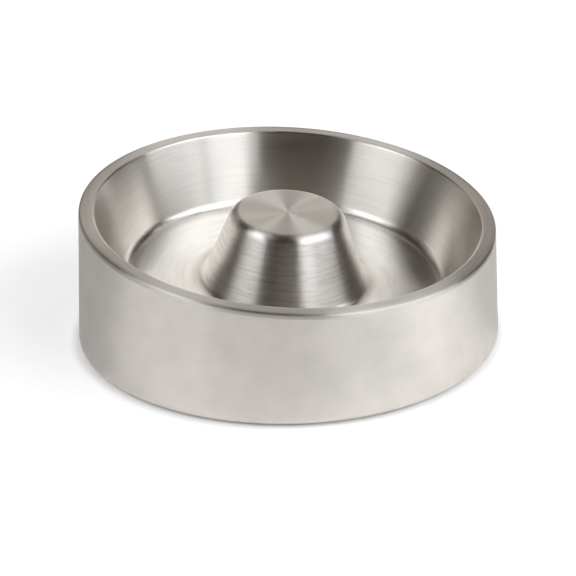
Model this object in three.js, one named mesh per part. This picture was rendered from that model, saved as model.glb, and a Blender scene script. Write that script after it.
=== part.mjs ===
// Slow feeder dog bowl: a double-wall steel bowl with a post in the middle of the trough.
// Millimetres, +Z up. The origin is on the floor, under the middle of the base, and the rim is
// lowest at the front, towards -Y.

import * as THREE from 'three';

// Overall form
const RIM_DIAMETER = 215; // across the outer edge of the rim
const BASE_FLARE = 3.6; // how far the base stands out beyond the rim, on average
const RIM_HEIGHT = 66.7; // on the axis, before the liner leans
const BOWL_DEPTH = 38.3; // rim to trough floor
const SLANT_DEGREES = 6; // the whole liner leans this much to the front
const PIVOT_DEPTH = 10.5; // it leans about a level line across the axis, this far below the rim

// Food liner
const LINER_SHEET = 1.0;
const RIM_WIDTH = 7.6; // flat of the rim, outer edge to inner edge
const RIM_OUTER_ROUND = 1.6;
const RIM_INNER_ROUND = 1.5;
const LIP_DEPTH = 2.2; // how far the rim turns down outside
const WALL_DRAFT_DEGREES = 22.4;
const FLOOR_FILLET = 6;
const POST_TOP_DIAMETER = 58; // across the sharp corner, before it is rounded
const POST_HEIGHT = 37.6; // trough floor to post top
const POST_DRAFT_DEGREES = 20;
const POST_EDGE_ROUND = 6;
const POST_FOOT_FILLET = 7;

// Outer shell
const SHELL_SHEET = 1.0;
const SHELL_FOOT_ROUND = 2.5; // corner where the wall turns in under the base
const WELD_GAP = 0.3; // between the lip and the top edge of the wall

// Base plate
const BASE_SHEET = 1.0;
const BASE_EDGE_CLEARANCE = 1.0; // to the inside corner of the shell
const PANEL_DIAMETER = 140; // raised panel that stiffens the plate
const PANEL_RISE = 2;
const PANEL_DRAFT_DEGREES = 45;
const PANEL_ROUND = 2;

// Non-slip ring
const RING_STAND = 1.0; // how far it lifts the steel off the floor
const RING_INSET = 13.6; // outer edge of the ring in from the outer edge of the base
const RING_WIDTH = 11.5;
const RING_CLEARANCE = 0.4; // to the edge of the turned-in flange
const RING_CHAMFER = 0.4;
const GROOVE_WIDTH = 2.5; // groove that splits the sole into two lips
const GROOVE_DEPTH = 0.6;

// Fineness of the facets
const SEGMENTS = 72;
const ARC_STEP = THREE.MathUtils.degToRad(22);

// Levels and radii that follow from the sizes above
const SLANT = THREE.MathUtils.degToRad(SLANT_DEGREES);
const PIVOT_HEIGHT = RIM_HEIGHT - PIVOT_DEPTH;
const FLOOR_HEIGHT = RIM_HEIGHT - BOWL_DEPTH;
const RIM_RADIUS = RIM_DIAMETER / 2;
const BASE_RADIUS = RIM_RADIUS + BASE_FLARE;
const PLATE_LEVEL = RING_STAND + SHELL_SHEET; // where plate, flange and ring meet
const WALL_FLARE = BASE_FLARE / (RIM_HEIGHT - RING_STAND);
const RING_OUTER_RADIUS = BASE_RADIUS - RING_INSET;

const corner = (radius, height, round = 0) => ({ point: new THREE.Vector2(radius, height), round });

// How far a line drafted by an angle runs sideways over a rise
const draft = (rise, degrees) => rise * Math.tan(THREE.MathUtils.degToRad(degrees));

// Outer face of the steel at a depth below the rim, lip and wall alike
const wallRadius = (depth) => RIM_RADIUS + depth * WALL_FLARE;

const heading = (from, to) => to.point.clone().sub(from.point).normalize();
const rightOf = (direction) => new THREE.Vector2(direction.y, -direction.x);

// The far face of a sheet: the path moved to its right by the thickness, fillets following
function offsetPath(path, thickness) {
  return path.map((here, i) => {
    const into = heading(path[Math.max(i - 1, 0)], path[Math.max(i, 1)]);
    const out = heading(path[Math.min(i, path.length - 2)], path[Math.min(i + 1, path.length - 1)]);
    const side = rightOf(into).add(rightOf(out));
    const shift = side.multiplyScalar((2 * thickness) / side.lengthSq());
    const turnsLeft = into.cross(out) > 0;
    const round = Math.max(here.round + (turnsLeft ? thickness : -thickness), 0);
    return { point: here.point.clone().add(shift), round: here.round > 0 ? round : 0 };
  });
}

// The points of a path, each rounded corner replaced by its arc
function roundedPoints(path) {
  return path.flatMap((here, i) => {
    if (here.round === 0 || i === 0 || i === path.length - 1) return [here.point];
    const into = heading(path[i - 1], here);
    const out = heading(here, path[i + 1]);
    const turn = Math.atan2(into.cross(out), into.dot(out));
    const start = here.point.clone().addScaledVector(into, -here.round * Math.tan(Math.abs(turn) / 2));
    const toCentre = rightOf(into).multiplyScalar(-Math.sign(turn) * here.round);
    const centre = start.clone().add(toCentre);
    const steps = Math.max(2, Math.ceil(Math.abs(turn) / ARC_STEP));
    return Array.from({ length: steps + 1 }, (_, k) =>
      start.clone().rotateAround(centre, (turn * k) / steps));
  });
}

// Turn a closed outline of radius and height about the upright axis
function revolve(outline) {
  return new THREE.LatheGeometry(outline, SEGMENTS).rotateX(Math.PI / 2);
}

// A pressed sheet: one face given as a path, the thickness lying to its right
function pressedSheet(path, thickness) {
  const outline = [...roundedPoints(offsetPath(path, thickness)), ...roundedPoints(path).reverse()];
  if (path[0].point.x > 0) outline.push(outline[0].clone());
  return revolve(outline);
}

// The whole form leant to the front, about the pivot
function leant(geometry) {
  return geometry.translate(0, 0, -PIVOT_HEIGHT).rotateX(SLANT).translate(0, 0, PIVOT_HEIGHT);
}

// A turned form that stands level up to one height and leans more and more above it, fully at another
function leantAbove(geometry, levelHeight, leantHeight) {
  const upright = geometry.attributes.position;
  const leaning = leant(geometry.clone()).attributes.position;
  const from = new THREE.Vector3();
  const to = new THREE.Vector3();
  for (let i = 0; i < upright.count; i += 1) {
    from.fromBufferAttribute(upright, i);
    to.fromBufferAttribute(leaning, i);
    const share = THREE.MathUtils.clamp((from.z - levelHeight) / (leantHeight - levelHeight), 0, 1);
    from.lerp(to, share);
    upright.setXYZ(i, from.x, from.y, from.z);
  }
  return geometry;
}

// Liner, from the middle of the post out over the trough and the rim to the end of the lip
function innerBowl() {
  const postTop = FLOOR_HEIGHT + POST_HEIGHT;
  const postRadius = POST_TOP_DIAMETER / 2;
  const mouthRadius = RIM_RADIUS - RIM_WIDTH;
  const path = [
    corner(0, postTop),
    corner(postRadius, postTop, POST_EDGE_ROUND),
    corner(postRadius + draft(POST_HEIGHT, POST_DRAFT_DEGREES), FLOOR_HEIGHT, POST_FOOT_FILLET),
    corner(mouthRadius - draft(BOWL_DEPTH, WALL_DRAFT_DEGREES), FLOOR_HEIGHT, FLOOR_FILLET),
    corner(mouthRadius, RIM_HEIGHT, RIM_INNER_ROUND),
    corner(RIM_RADIUS, RIM_HEIGHT, RIM_OUTER_ROUND),
    corner(wallRadius(LIP_DEPTH), RIM_HEIGHT - LIP_DEPTH),
  ];
  return leant(pressedSheet(path, LINER_SHEET));
}

// Skirt, from its slanted top edge down to the foot and in under the base
function outerShell() {
  const topDepth = LIP_DEPTH + WELD_GAP;
  const path = [
    corner(wallRadius(topDepth), RIM_HEIGHT - topDepth),
    corner(BASE_RADIUS, RING_STAND, SHELL_FOOT_ROUND),
    corner(RING_OUTER_RADIUS + RING_CLEARANCE, RING_STAND),
  ];
  return leantAbove(pressedSheet(path, SHELL_SHEET), RING_STAND + SHELL_FOOT_ROUND, RIM_HEIGHT - topDepth);
}

// Closing disc, flat where it lies on the flange and raised in the middle
function basePlate() {
  const rimLevel = PLATE_LEVEL + BASE_SHEET;
  const panelRadius = PANEL_DIAMETER / 2;
  const panelFoot = panelRadius + draft(PANEL_RISE, PANEL_DRAFT_DEGREES);
  const insideCorner = Math.max(SHELL_SHEET, SHELL_FOOT_ROUND);
  const path = [
    corner(0, rimLevel + PANEL_RISE),
    corner(panelRadius, rimLevel + PANEL_RISE, PANEL_ROUND),
    corner(panelFoot, rimLevel, PANEL_ROUND),
    corner(BASE_RADIUS - insideCorner - BASE_EDGE_CLEARANCE, rimLevel),
  ];
  return pressedSheet(path, BASE_SHEET);
}

// Grip ring: two lips on the floor, chamfered edges, flat back against the plate
function nonslipRing() {
  const inner = RING_OUTER_RADIUS - RING_WIDTH;
  const middle = RING_OUTER_RADIUS - RING_WIDTH / 2;
  const half = GROOVE_WIDTH / 2;
  const sole = [
    [inner + RING_CHAMFER, 0],
    [middle - half, 0],
    [middle - half, GROOVE_DEPTH],
    [middle + half, GROOVE_DEPTH],
    [middle + half, 0],
    [RING_OUTER_RADIUS - RING_CHAMFER, 0],
    [RING_OUTER_RADIUS, RING_CHAMFER],
    [RING_OUTER_RADIUS, PLATE_LEVEL],
    [inner, PLATE_LEVEL],
    [inner, RING_CHAMFER],
    [inner + RING_CHAMFER, 0],
  ];
  return revolve(sole.map(([radius, height]) => new THREE.Vector2(radius, height)));
}

function piece(name, geometry, color, roughness, metalness) {
  const mesh = new THREE.Mesh(geometry, new THREE.MeshStandardMaterial({ color, roughness, metalness }));
  mesh.name = name;
  return mesh;
}

const bowl = new THREE.Group();
bowl.add(
  piece('inner_bowl', innerBowl(), 0xcfcbc6, 0.28, 1),
  piece('outer_shell', outerShell(), 0xc6c2bc, 0.38, 1),
  piece('base_plate', basePlate(), 0xb9b6b1, 0.45, 1),
  piece('nonslip_ring', nonslipRing(), 0x2b2b2c, 0.8, 0),
);

export default bowl;
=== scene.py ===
from cmath import phase
from math import ceil, copysign, cos, pi, radians, sin, tan

import bpy
import numpy as np
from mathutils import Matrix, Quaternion, Vector


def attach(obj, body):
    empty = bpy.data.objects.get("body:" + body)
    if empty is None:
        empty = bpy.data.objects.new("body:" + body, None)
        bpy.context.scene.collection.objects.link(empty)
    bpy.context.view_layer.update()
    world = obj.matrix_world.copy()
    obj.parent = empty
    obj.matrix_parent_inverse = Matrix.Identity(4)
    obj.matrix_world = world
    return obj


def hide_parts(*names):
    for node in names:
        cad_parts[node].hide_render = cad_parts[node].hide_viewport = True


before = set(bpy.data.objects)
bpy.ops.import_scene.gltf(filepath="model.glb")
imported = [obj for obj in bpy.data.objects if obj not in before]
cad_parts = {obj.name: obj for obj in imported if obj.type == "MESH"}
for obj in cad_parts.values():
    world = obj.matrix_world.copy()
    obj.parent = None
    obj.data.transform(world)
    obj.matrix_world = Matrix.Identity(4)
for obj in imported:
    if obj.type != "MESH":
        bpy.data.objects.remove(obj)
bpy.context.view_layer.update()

# Sizes of the bowl, in metres. They follow its solids and stay a hair inside them, with a finer weld, rim
# edge and post foot.
SLANT = radians(6)  # the liner leans to the front by this much
PIVOT_HEIGHT = 0.0562  # on the axis, the point that the liner leans about
RIM_RADIUS = 0.1075
BASE_FLARE = 0.00358  # the base stands out beyond the rim
RIM_HEIGHT = 0.06663
FLOOR_HEIGHT = 0.0284
SHEET = 0.001
RIM_WIDTH = 0.0076
RIM_OUTER_ROUND = 0.001
RIM_INNER_ROUND = 0.0015
LIP_DEPTH = 0.0022
WALL_DRAFT = tan(radians(22.4))
FLOOR_FILLET = 0.006
POST_RADIUS = 0.029
POST_HEIGHT = 0.0376
POST_DRAFT = tan(radians(20))
POST_EDGE_ROUND = 0.006
POST_FOOT_FILLET = 0.003
STEEL_FOOT = 0.001  # lower edge of the steel, lifted off the floor by the grip ring
SHELL_FOOT_ROUND = 0.0025
WELD_GAP = 0.00002
PLATE_EDGE = 0.0035  # edge of the base plate in from the outer edge of the base
PANEL_RADIUS = 0.070
PANEL_RISE = 0.002
PANEL_ROUND = 0.002
RING_INSET = 0.0136  # outer edge of the grip ring in from the outer edge of the base
RING_WIDTH = 0.0115
RING_CLEARANCE = 0.0004
RING_ROUND = 0.0003
GROOVE_WIDTH = 0.0025
GROOVE_DEPTH = 0.0006

# Levels and radii that follow from them
BASE_RADIUS = RIM_RADIUS + BASE_FLARE
WALL_FLARE = BASE_FLARE / (RIM_HEIGHT - STEEL_FOOT)
MOUTH_RADIUS = RIM_RADIUS - RIM_WIDTH
FLOOR_EDGE_RADIUS = MOUTH_RADIUS - (RIM_HEIGHT - FLOOR_HEIGHT) * WALL_DRAFT
POST_FOOT_RADIUS = POST_RADIUS + POST_HEIGHT * POST_DRAFT
PLATE_LEVEL = STEEL_FOOT + SHEET
RING_RADIUS = BASE_RADIUS - RING_INSET

# Fineness of the meshes
AROUND = 320
ARC_STEP = radians(6)
LONGEST_FACE = 0.002
SHARP_ANGLE = radians(40)
STAGE_AROUND = 97
CARD_UPWARD = 13

# The photograph's viewpoint. Azimuths in the studio count from the camera, to its right.
CAMERA_AZIMUTH = radians(-38.15)
CAMERA_ELEVATION = radians(24.01)
CAMERA_DISTANCE = 0.9
CAMERA_ROLL = radians(-0.91)
CAMERA_LENS = 106.93
CAMERA_FOCUS_HEIGHT = 0.031  # point on the axis that the distance and elevation refer to
CAMERA_AIM_HEIGHT = 0.0223  # point on the axis in the middle of the picture
CAMERA_REACH = 50

# White floor and backdrop, in a dim room
FLOOR_RADIUS = 6.0
FLOOR_INNER_RADIUS = 0.01  # under the bowl, where nobody sees it
FLOOR_COLOUR = (0.9, 0.9, 0.9, 1)
FLOOR_GLOW = 0.56
FLOOR_GLOW_FAR = 0.8
GLOW_NEAR_RADIUS = 0.14
GLOW_FAR_RADIUS = 0.4
CONTACT_SHADOW_WIDTH = 0.005  # the glow fades out this far on each side of the edge of the base: a painted contact shadow round its foot
BACKDROP_HEIGHT = 1.5
ROOM_COLOUR = (0.028, 0.015, 0.008, 1)

# Softboxes, panels and flags on a dome round the bowl: azimuths from and to, elevations from and to, in
# degrees, and brightness
CARD_DISTANCE = 1.6
LAMP_TINT = (0.97, 1.0, 1.03, 1)
ROOM_TINT = (1.035, 1.0, 0.95, 1)
CARDS = {
    "left low softbox": (-91, -39, 0, 26, 0.44),
    "left softbox": (-88, -41, 26, 47, 1.72),
    "left top softbox": (-93, -57, 47, 60, 2.8),
    "left overhead softbox": (-105, -57, 60, 82, 1.75),
    "left wing": (-127, -97, 16, 36, 0.2),
    "back left softbox": (-152, -128, 17, 42, 0.38),
    "right low softbox": (20, 57, 12, 28, 1.12),
    "right softbox": (30, 57, 28, 54, 3.5),
    "far right low softbox": (57, 95, 2, 11, 1.05),
    "far right softbox": (60, 104, 28, 56, 2.85),
    "right overhead softbox": (57, 80, 60, 82, 0.4),
    "far right overhead softbox": (80, 110, 60, 82, 2.1),
    "right top strip": (112, 121, 60, 75, 3.0),
    "back right strip": (130, 142, 43, 58, 1.8),
    "back panel": (168, 188, 6, 43, 0.86),
    "back top panel": (165, 195, 43, 78, 0.26),
    "front top panel": (-55, 28, 68, 84, 0.04),
    "camera side flag": (-39, 20, 2, 20, 0.0),
    "back left flag": (-170, -93, 0, 16, 0.05),
    "right low flag": (28, 57, 0, 12, 0.02),
    "far right low flag": (95, 135, 0, 14, 0.0),
}

# Flags that lie on the floor and only metal sees, dimming the floor in its reflection, darkest by the base
# at the left as a painted shadow of the bowl: azimuths from and to in degrees, radii from and to, and
# brightness
FLAG_HEIGHT = 0.0005
FLAG_TINT = (1, 1, 1, 1)
FLOOR_FLAGS = {
    "left floor flag": (-190, -77, 0.113, 0.9, 0.55),
    # painted shadow of the bowl on the floor by its base, seen only in the metal
    "left near flag": (-77, -60, 0.113, 0.145, 0.59),
    "front left near flag": (-60, -42, 0.113, 0.130, 0.76),
    "front left flag": (-77, -40, 0.146, 0.9, 0.91),
    "front flag": (-40, 5, 0.131, 0.9, 0.98),
    "front right flag": (5, 45, 0.131, 0.9, 0.92),
    "right floor flag": (84, 150, 0.113, 0.9, 0.8),
}


def corner(radius, height, size=0.0):
    """A corner of a profile: its place as radius + height * 1j, and the size of its round."""
    return complex(radius, height), size


def far_face(path, thickness):
    """The path moved to its right.

    A corner goes along the bisector of its two sides, and its round grows or shrinks by the thickness.
    """
    spots, rounds = (np.array(column) for column in zip(*path))
    headings = np.diff(spots) / np.abs(np.diff(spots))
    into = np.append(headings[:1], headings)
    out = np.append(headings, headings[-1:])
    aside = -1j * (into + out)
    moved = spots + aside * 2 * thickness / np.abs(aside) ** 2
    grown = np.maximum(rounds + thickness * np.sign((out / into).imag), 0)
    return list(zip(moved, np.where(rounds > 0, grown, 0)))


def rounded(path):
    """Points along a path of corners.

    A round is an arc that starts size * tan(turn / 2) before its corner, about a centre that lies one size
    away on the side that the path turns to.
    """
    spots, rounds = zip(*path)
    points = [spots[:1]]
    for before, here, after, size in zip(spots, spots[1:], spots[2:], rounds[1:]):
        into = (here - before) / abs(here - before)
        turn = phase((after - here) / into)
        start = here - into * size * tan(abs(turn) / 2)
        centre = start + 1j * into * copysign(size, turn)
        turns = np.linspace(0, turn, 1 + (size > 0) * max(2, ceil(abs(turn) / ARC_STEP)))
        points.append(centre + (start - centre) * np.exp(1j * turns))
    points.append(spots[-1:])
    return np.concatenate(points)


def divided(points):
    """The points of an outline with its long straight stretches cut into equal steps."""
    steps = np.ceil(np.abs(np.diff(points)) / LONGEST_FACE).astype(int).clip(1)
    whole = np.repeat(np.arange(len(steps)), steps)
    share = (np.arange(len(whole)) - np.repeat(np.cumsum(steps) - steps, steps)) / steps[whole]
    return np.append(points[whole] + share * np.diff(points)[whole], points[-1])


def sheet_outline(path, thickness):
    """Outline of a pressed sheet: out along its far face and back along the path."""
    return divided(np.concatenate([rounded(far_face(path, thickness)), rounded(path)[::-1]]))


def around(outline):
    """Each point of an outline, radius r and height h, at every azimuth a: (r cos a, r sin a, h)."""
    azimuth = np.arange(AROUND) * 2 * pi / AROUND
    radius = outline.real[:, None]
    height = np.broadcast_to(outline.imag[:, None], (len(outline), AROUND))
    return np.stack([radius * np.cos(azimuth), radius * np.sin(azimuth), height], axis=-1)


def lean(places):
    """How far the slant moves each place.

    It turns about a level line across the pivot: the back goes up and the front goes down.
    """
    y = places[..., 1]
    above = places[..., 2] - PIVOT_HEIGHT
    forward = above * sin(SLANT) + y * (1 - cos(SLANT))
    upward = y * sin(SLANT) - above * (1 - cos(SLANT))
    return np.stack([0 * y, -forward, upward], axis=-1)


def turned(name, outline, finish, share=0.0, guide=None, **marks):
    """A piece turned about the upright axis.

    Each point of the outline becomes a ring, moved by its share of the slant that its guide point has,
    which is the point itself unless a guide is given. Quads join each ring to the next. An outline that
    starts on the axis ends on it too, with a fan at each end, and any other joins its first ring. Each mark
    is a number for every point of the outline, kept as an attribute.
    """
    on_axis = outline[0].real == 0
    slanted = np.broadcast_to(share, outline.shape)[:, None, None]
    rings = around(outline) + slanted * lean(around(outline if guide is None else guide))
    marks["along"] = np.append(0, np.cumsum(np.abs(np.diff(outline))))
    inside = slice(1, -1) if on_axis else slice(None)
    places = rings[inside].reshape(-1, 3)
    values = {mark: np.repeat(value[inside], AROUND) for mark, value in marks.items()}
    index = np.arange(len(places)).reshape(-1, AROUND)
    upper = index[1:] if on_axis else np.roll(index, -1, axis=0)
    lower = index[:-1] if on_axis else index
    quads = [lower, np.roll(lower, -1, axis=1), np.roll(upper, -1, axis=1), upper]
    faces = np.stack(quads, axis=-1).reshape(-1, 4).tolist()
    if on_axis:
        first, last = len(places), len(places) + 1
        places = np.append(places, rings[[0, -1], 0], axis=0)
        values = {mark: np.append(value, marks[mark][[0, -1]]) for mark, value in values.items()}
        fans = [[np.full(AROUND, first), np.roll(index[0], -1), index[0]],
                [np.full(AROUND, last), index[-1], np.roll(index[-1], -1)]]
        faces += np.concatenate([np.stack(fan, axis=-1) for fan in fans]).tolist()
    mesh = bpy.data.meshes.new(name)
    mesh.from_pydata(places.tolist(), [], faces)
    mesh.shade_smooth()
    mesh.set_sharp_from_angle(angle=SHARP_ANGLE)
    for mark, value in values.items():
        mesh.attributes.new(mark, "FLOAT", "POINT").data.foreach_set("value", value.astype(np.float32))
    mesh.materials.append(finish)
    return shown(name, mesh)


def shown(name, data):
    """A new object at the origin, in the scene."""
    made = bpy.data.objects.new(name, data)
    bpy.context.scene.collection.objects.link(made)
    return made


class Wire:
    """An output of a node tree that takes part in sums: each operator adds a Math node."""

    def __init__(self, tree, socket):
        self.tree = tree
        self.socket = socket

    def math(self, operation, first, second):
        return self.tree.add("ShaderNodeMath", {"operation": operation}, {0: first, 1: second})

    def __add__(self, other):
        return self.math("ADD", self, other)

    def __sub__(self, other):
        return self.math("SUBTRACT", self, other)

    def __rsub__(self, other):
        return self.math("SUBTRACT", other, self)

    def __mul__(self, other):
        return self.math("MULTIPLY", self, other)

    __radd__ = __add__
    __rmul__ = __mul__


class Tree:
    """The node tree of a material or the world, emptied for a finish of its own."""

    def __init__(self, owner):
        owner.use_nodes = True
        self.nodes = owner.node_tree.nodes
        self.links = owner.node_tree.links
        self.nodes.clear()

    def add(self, kind, settings=None, sockets=None, output=0):
        """A node of any type: its settings first, then its sockets' values or links, by name or number."""
        node = self.nodes.new(kind)
        for setting, value in (settings or {}).items():
            setattr(node, setting, value)
        for key, value in (sockets or {}).items():
            socket = node.inputs[key]
            if isinstance(value, Wire):
                self.links.new(value.socket, socket)
            else:
                socket.default_value = value
        return Wire(self, node.outputs[output]) if node.outputs else node

    def mix(self, share, first, second):
        """Two colours mixed by a share from 0 to 1."""
        return self.add("ShaderNodeMix", {"data_type": "RGBA"}, {0: share, 6: first, 7: second}, output=2)

    def mark(self, name):
        """The piece's own mark of that name."""
        return self.add("ShaderNodeAttribute", {"attribute_name": name}, output="Fac")

    def streaks(self, reach, pitch, detail):
        """Brush lines from 0 to 1.

        A noise drawn out round the axis: reach cells to a radian, and pitch metres from line to line.
        """
        place = self.add("ShaderNodeTexCoord", output="Object")
        flat = self.add("ShaderNodeVectorMath", {"operation": "MULTIPLY"}, {0: place, 1: (1, 1, 0)})
        compass = self.add("ShaderNodeVectorMath", {"operation": "NORMALIZE"}, {0: flat})
        rise = self.add("ShaderNodeCombineXYZ", None, {"Z": self.mark("along") * (1 / pitch)})
        cells = self.add("ShaderNodeVectorMath", {"operation": "MULTIPLY_ADD"},
                         {0: compass, 1: (reach, reach, 0), 2: rise})
        return self.add("ShaderNodeTexNoise", None,
                        {"Vector": cells, "Scale": 1, "Detail": detail, "Roughness": 0.6})

    def scratches(self, reach, pitch):
        """Thin lines, 1 along the middle level of a noise drawn out round the axis and 0 elsewhere."""
        level = self.streaks(reach, pitch, 2)
        away = self.add("ShaderNodeMath", {"operation": "ABSOLUTE"}, {0: (level - 0.5) * 14})
        return self.add("ShaderNodeClamp", None, {"Value": 1 - away})

    def clouds(self, size, detail=2):
        """Soft blotches from 0 to 1, about size metres across."""
        place = self.add("ShaderNodeTexCoord", output="Object")
        return self.add("ShaderNodeTexNoise", None, {"Vector": place, "Scale": 1 / size, "Detail": detail})

    def surface(self, shader):
        self.add("ShaderNodeOutputMaterial", None, {"Surface": shader})


def liner_steel():
    """Stainless steel, brushed round the axis where the mark spin is 1 and plain satin where it is 0.

    The mark grain is the strength of the brush lines and of a lift in colour, painted light strongest on the
    post, and the mark rough is the brushed steel's roughness.
    """
    material = bpy.data.materials.new("liner steel")
    tree = Tree(material)
    fine = tree.streaks(3, 0.0003, 1)
    coarse = tree.streaks(1.2, 0.00045, 1)
    arcs = tree.streaks(3, 0.003, 2)
    clouds = tree.clouds(0.03)
    grain = tree.mark("grain")
    # Besides the brush lines, lines holds a lift of 0.26 times grain: partly it makes up for the dark
    # scratches, partly it is painted light that lightens the post.
    lines = 0.26 + (fine - 0.5) * 0.4 + (coarse - 0.5) * 0.5 - tree.scratches(1, 0.0025) * 0.3
    shade = 0.52 + lines * grain + (clouds - 0.5) * 0.2
    depth = (fine + coarse * 0.3) * (grain * 0.7 + 0.3)
    bands = arcs * 1.2 + clouds * 0.4 - 0.3
    plain = tree.add("ShaderNodeBsdfPrincipled", None, {
        "Base Color": tree.mix(bands, (0.78, 0.76, 0.735, 1), (0.98, 0.965, 0.94, 1)),
        "Metallic": 1.0,
        "Roughness": 0.19 + (clouds - 0.5) * 0.08,
    })
    brushed = tree.add("ShaderNodeBsdfPrincipled", None, {
        "Base Color": tree.mix(shade, (0.55, 0.525, 0.49, 1), (0.97, 0.93, 0.88, 1)),
        "Metallic": 1.0,
        "Roughness": tree.mark("rough") + (coarse - 0.5) * 0.1 * grain,
        "Anisotropic": 1.0,
        "Anisotropic Rotation": 0.25,
        "Normal": tree.add("ShaderNodeBump", None, {"Strength": 1.0, "Distance": 0.000014, "Height": depth}),
    })
    spin = tree.add("ShaderNodeMapRange", {"interpolation_type": "SMOOTHSTEP"}, {"Value": tree.mark("spin")})
    tree.surface(tree.add("ShaderNodeMixShader", None, {0: spin, 1: plain, 2: brushed}))
    return material


def shell_steel():
    """Satin steel: even, a little cloudy, with faint brush lines round the wall."""
    material = bpy.data.materials.new("shell steel")
    tree = Tree(material)
    fine = tree.streaks(8, 0.0004, 3)
    clouds = tree.clouds(0.018, 3)
    shade = 0.5 + (fine - 0.5) * 0.6 + (clouds - 0.5) * 1.6
    tree.surface(tree.add("ShaderNodeBsdfPrincipled", None, {
        "Base Color": tree.mix(shade, (0.675, 0.64, 0.595, 1), (0.82, 0.775, 0.725, 1)),
        "Metallic": 1.0,
        "Roughness": 0.47 + (clouds - 0.5) * 0.10 + (fine - 0.5) * 0.05,
        "Anisotropic": 0.65,
        "Anisotropic Rotation": 0.25,
        "Normal": tree.add("ShaderNodeBump", None, {"Strength": 1.0, "Distance": 0.000008, "Height": fine}),
    }))
    return material


def base_steel():
    """Mill-finish steel under the bowl: greyer, cloudy, with the press's rings."""
    material = bpy.data.materials.new("base steel")
    tree = Tree(material)
    rings = tree.streaks(3, 0.0012, 3)
    clouds = tree.clouds(0.025, 3)
    tree.surface(tree.add("ShaderNodeBsdfPrincipled", None, {
        "Base Color": tree.mix(rings * 0.4 + clouds * 0.6, (0.42, 0.41, 0.395, 1), (0.58, 0.57, 0.55, 1)),
        "Metallic": 1.0,
        "Roughness": 0.42 + (clouds - 0.5) * 0.15,
        "Anisotropic": 0.4,
        "Anisotropic Rotation": 0.25,
        "Normal": tree.add("ShaderNodeBump", None, {"Strength": 1.0, "Distance": 0.00001, "Height": rings}),
    }))
    return material


def grip_rubber():
    """Matte black rubber with a fine grain and dusty patches."""
    material = bpy.data.materials.new("grip rubber")
    tree = Tree(material)
    grain = tree.clouds(0.0004, 2)
    dust = tree.clouds(0.012, 3)
    tree.surface(tree.add("ShaderNodeBsdfPrincipled", None, {
        "Base Color": tree.mix(dust, (0.022, 0.022, 0.023, 1), (0.05, 0.049, 0.047, 1)),
        "Roughness": 0.75 + (dust - 0.5) * 0.2,
        "Normal": tree.add("ShaderNodeBump", None, {"Strength": 0.6, "Distance": 0.00005, "Height": grain}),
    }))
    return material


def wall_radius(depth):
    """Outer face of the steel at a depth below the rim, lip and wall alike."""
    return RIM_RADIUS + depth * WALL_FLARE


def graded(radius, stops):
    """A mark for every radius, in straight steps between stops of a radius and a value."""
    return np.interp(radius, *zip(*stops))


def inner_bowl():
    """The liner: post, trough, wall, rim and lip in one pressed sheet that leans to the front."""
    post_top = FLOOR_HEIGHT + POST_HEIGHT
    path = [
        corner(0, post_top),
        corner(POST_RADIUS, post_top, POST_EDGE_ROUND),
        corner(POST_FOOT_RADIUS, FLOOR_HEIGHT, POST_FOOT_FILLET),
        corner(FLOOR_EDGE_RADIUS, FLOOR_HEIGHT, FLOOR_FILLET),
        corner(MOUTH_RADIUS, RIM_HEIGHT, RIM_INNER_ROUND),
        corner(RIM_RADIUS, RIM_HEIGHT, RIM_OUTER_ROUND),
        corner(wall_radius(LIP_DEPTH), RIM_HEIGHT - LIP_DEPTH),
    ]
    outline = sheet_outline(path, SHEET)
    # grain: strength of the brush lines, and of the painted light that lifts the liner's colour, most on the
    # post
    grain = graded(outline.real, [
        (POST_RADIUS - 0.003, 0.15), (POST_RADIUS + 0.002, 1.0),
        (POST_FOOT_RADIUS - 0.0017, 1.0), (POST_FOOT_RADIUS + 0.0033, 0.35),
        (MOUTH_RADIUS - 0.0019, 0.35), (MOUTH_RADIUS + 0.0006, 0.5),
        (RIM_RADIUS - 0.0013, 0.5), (RIM_RADIUS - 0.0003, 0.1),
    ])
    rough = graded(outline.real, [
        (POST_RADIUS - 0.003, 0.29), (POST_RADIUS + 0.002, 0.35),
        (POST_FOOT_RADIUS - 0.0012, 0.35), (POST_FOOT_RADIUS + 0.0021, 0.27),
        (POST_FOOT_RADIUS + 0.0063, 0.18), (FLOOR_EDGE_RADIUS - 0.004, 0.18),
        (FLOOR_EDGE_RADIUS + 0.0019, 0.29),
        (RIM_RADIUS - 0.0015, 0.29), (RIM_RADIUS - 0.0007, 0.45),
    ])
    spin = graded(outline.real, [
        (POST_FOOT_RADIUS + 0.0021, 1), (POST_FOOT_RADIUS + 0.0083, 0),
        (FLOOR_EDGE_RADIUS - 0.0101, 0), (FLOOR_EDGE_RADIUS - 0.004, 1),
    ])
    return turned("inner_bowl_brushed", outline, liner_steel(), 1.0, grain=grain, rough=rough, spin=spin)


def outer_shell():
    """The skirt: level at its foot, and straight from there to its top edge, which leans with the liner."""
    top_depth = LIP_DEPTH + WELD_GAP
    top = RIM_HEIGHT - top_depth
    level = STEEL_FOOT + SHELL_FOOT_ROUND
    path = [
        corner(wall_radius(top_depth), top),
        corner(BASE_RADIUS, STEEL_FOOT, SHELL_FOOT_ROUND),
        corner(RING_RADIUS + RING_CLEARANCE, STEEL_FOOT),
    ]
    outline = sheet_outline(path, SHEET)
    share = np.clip((outline.imag - level) / (top - level), 0, 1)
    guide = outline.real - (top - outline.imag) * WALL_FLARE + top * 1j
    return turned("outer_shell_satin", outline, shell_steel(), share, guide)


def base_plate():
    """The closing disc: flat at its edge, raised in the middle."""
    rim_level = PLATE_LEVEL + SHEET
    path = [
        corner(0, rim_level + PANEL_RISE),
        corner(PANEL_RADIUS, rim_level + PANEL_RISE, PANEL_ROUND),
        corner(PANEL_RADIUS + PANEL_RISE, rim_level, PANEL_ROUND),
        corner(BASE_RADIUS - PLATE_EDGE, rim_level),
    ]
    return turned("base_plate_mill", sheet_outline(path, SHEET), base_steel())


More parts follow.
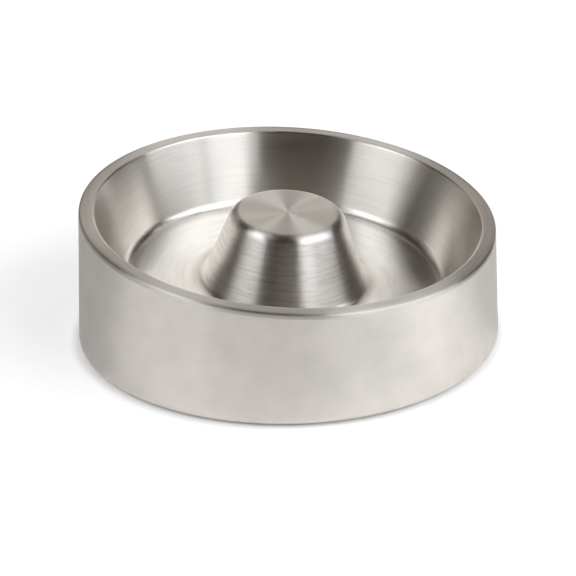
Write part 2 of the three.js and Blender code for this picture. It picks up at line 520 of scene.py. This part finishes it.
def nonslip_ring():
    """The grip ring: two soft-edged lips on the floor with a groove between them."""
    inner = RING_RADIUS - RING_WIDTH
    groove_in = RING_RADIUS - (RING_WIDTH + GROOVE_WIDTH) / 2
    groove_out = groove_in + GROOVE_WIDTH
    path = [
        corner(inner, PLATE_LEVEL),
        corner(inner, 0, RING_ROUND),
        corner(groove_in, 0, RING_ROUND),
        corner(groove_in, GROOVE_DEPTH, RING_ROUND),
        corner(groove_out, GROOVE_DEPTH, RING_ROUND),
        corner(groove_out, 0, RING_ROUND),
        corner(RING_RADIUS, 0, RING_ROUND),
        corner(RING_RADIUS, PLATE_LEVEL),
        corner(inner, PLATE_LEVEL),
    ]
    return turned("nonslip_ring_rubber", divided(rounded(path))[:-1], grip_rubber())


def camera():
    """Stands at its distance and elevation from a point on the axis, and looks at another, a little rolled.

    The picture is taken to be square.
    """
    made = shown("camera", bpy.data.cameras.new("camera"))
    made.data.lens = CAMERA_LENS
    made.data.clip_end = CAMERA_REACH
    level = cos(CAMERA_ELEVATION)
    outward = Vector((sin(CAMERA_AZIMUTH) * level, -cos(CAMERA_AZIMUTH) * level, sin(CAMERA_ELEVATION)))
    made.location = Vector((0, 0, CAMERA_FOCUS_HEIGHT)) + CAMERA_DISTANCE * outward
    sight = Vector((0, 0, CAMERA_AIM_HEIGHT)) - made.location
    made.rotation_mode = "QUATERNION"
    made.rotation_quaternion = sight.to_track_quat("-Z", "Y") @ Quaternion((0, 0, 1), CAMERA_ROLL)
    bpy.context.scene.camera = made


def stage_sheet(name, profile, left, right, shader):
    """A sheet of the stage: a profile of radius + height * 1j, carried round the axis from left to right."""
    profile = np.array(profile)
    azimuth = CAMERA_AZIMUTH + np.radians(np.linspace(left, right, STAGE_AROUND))[:, None]
    east = profile.real * np.sin(azimuth)
    north = -profile.real * np.cos(azimuth)
    places = np.stack(np.broadcast_arrays(east, north, profile.imag), axis=-1)
    index = np.arange(east.size).reshape(east.shape)
    quads = np.stack([index[:-1, :-1], index[:-1, 1:], index[1:, 1:], index[1:, :-1]], axis=-1)
    mesh = bpy.data.meshes.new(name)
    mesh.from_pydata(places.reshape(-1, 3).tolist(), [], quads.reshape(-1, 4).tolist())
    material = bpy.data.materials.new(name)
    tree = Tree(material)
    tree.surface(shader(tree))
    mesh.materials.append(material)
    made = shown(name, mesh)
    return made


def seen(tree):
    """1 for what the camera sees, straight or in metal or glass, and 0 for light on the object."""
    rays = [tree.add("ShaderNodeLightPath", output=ray)
            for ray in ("Is Camera Ray", "Is Glossy Ray", "Is Transmission Ray")]
    return tree.add("ShaderNodeClamp", None, {"Value": sum(rays)})


def white_floor(tree):
    """White paint that glows where it is seen, more far from the bowl than near, and not at all under it,
    with a painted contact shadow where the glow fades out across the edge of its base.
    """
    place = tree.add("ShaderNodeTexCoord", output="Object")
    distance = tree.add("ShaderNodeVectorMath", {"operation": "LENGTH"}, {0: place}, output="Value")
    share = tree.add("ShaderNodeMapRange", {"interpolation_type": "SMOOTHSTEP"},
                     {"Value": distance, "From Min": GLOW_NEAR_RADIUS, "From Max": GLOW_FAR_RADIUS})
    # painted contact shadow: no glow under the bowl, and the glow comes back across the edge of its base
    clear = tree.add("ShaderNodeMapRange", None, {
        "Value": distance, "From Min": BASE_RADIUS - CONTACT_SHADOW_WIDTH, "From Max": BASE_RADIUS + CONTACT_SHADOW_WIDTH})
    glow = clear * (FLOOR_GLOW + share * (FLOOR_GLOW_FAR - FLOOR_GLOW))
    return tree.add("ShaderNodeAddShader", None, {
        0: tree.add("ShaderNodeBsdfDiffuse", None, {"Color": FLOOR_COLOUR}),
        1: tree.add("ShaderNodeEmission", None, {"Strength": seen(tree) * glow}),
    })


def white_backdrop(tree):
    """A white that is seen and gives no light."""
    return tree.add("ShaderNodeEmission", None, {"Strength": seen(tree)})


def studio_card(name, profile, left, right, brightness, tint):
    """A card that only metal sees: a lamp if it is brighter than white, and then it lights the floor too."""
    made = stage_sheet(name, profile, left, right, lambda tree: tree.add(
        "ShaderNodeEmission", None, {"Color": tint, "Strength": brightness}))
    made.visible_camera = False
    made.visible_shadow = False
    made.visible_diffuse = brightness > 1


def studio():
    """The floor and backdrop, the dim room beyond them, and the cards on the dome and on the floor."""
    stage_sheet("floor", [FLOOR_INNER_RADIUS, FLOOR_RADIUS], -180, 180, white_floor)
    stage_sheet("backdrop", [FLOOR_RADIUS, FLOOR_RADIUS + BACKDROP_HEIGHT * 1j], -180, 180, white_backdrop)
    world = bpy.data.worlds.new("studio")
    bpy.context.scene.world = world
    tree = Tree(world)
    room = tree.add("ShaderNodeBackground", None, {"Color": ROOM_COLOUR})
    tree.add("ShaderNodeOutputWorld", None, {"Surface": room})
    for name, (left, right, low, high, brightness) in CARDS.items():
        elevations = np.radians(np.linspace(low, high, CARD_UPWARD))
        tint = LAMP_TINT if brightness > 1 else ROOM_TINT
        studio_card(name, CARD_DISTANCE * np.exp(1j * elevations), left, right, brightness, tint)
    for name, (left, right, near, far, brightness) in FLOOR_FLAGS.items():
        profile = [near + FLAG_HEIGHT * 1j, far + FLAG_HEIGHT * 1j]
        studio_card(name, profile, left, right, brightness, FLAG_TINT)


PIECES = [
    (inner_bowl, "inner_bowl", "liner_steel"),
    (outer_shell, "outer_shell", "shell_steel"),
    (base_plate, "base_plate", "base_steel"),
    (nonslip_ring, "nonslip_ring", "grip_rubber"),
]

for make, node, slot in PIECES:
    piece = make()
    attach(piece, "root")
    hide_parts(node)

camera()
studio()
bpy.context.scene.view_settings.view_transform = "Standard"
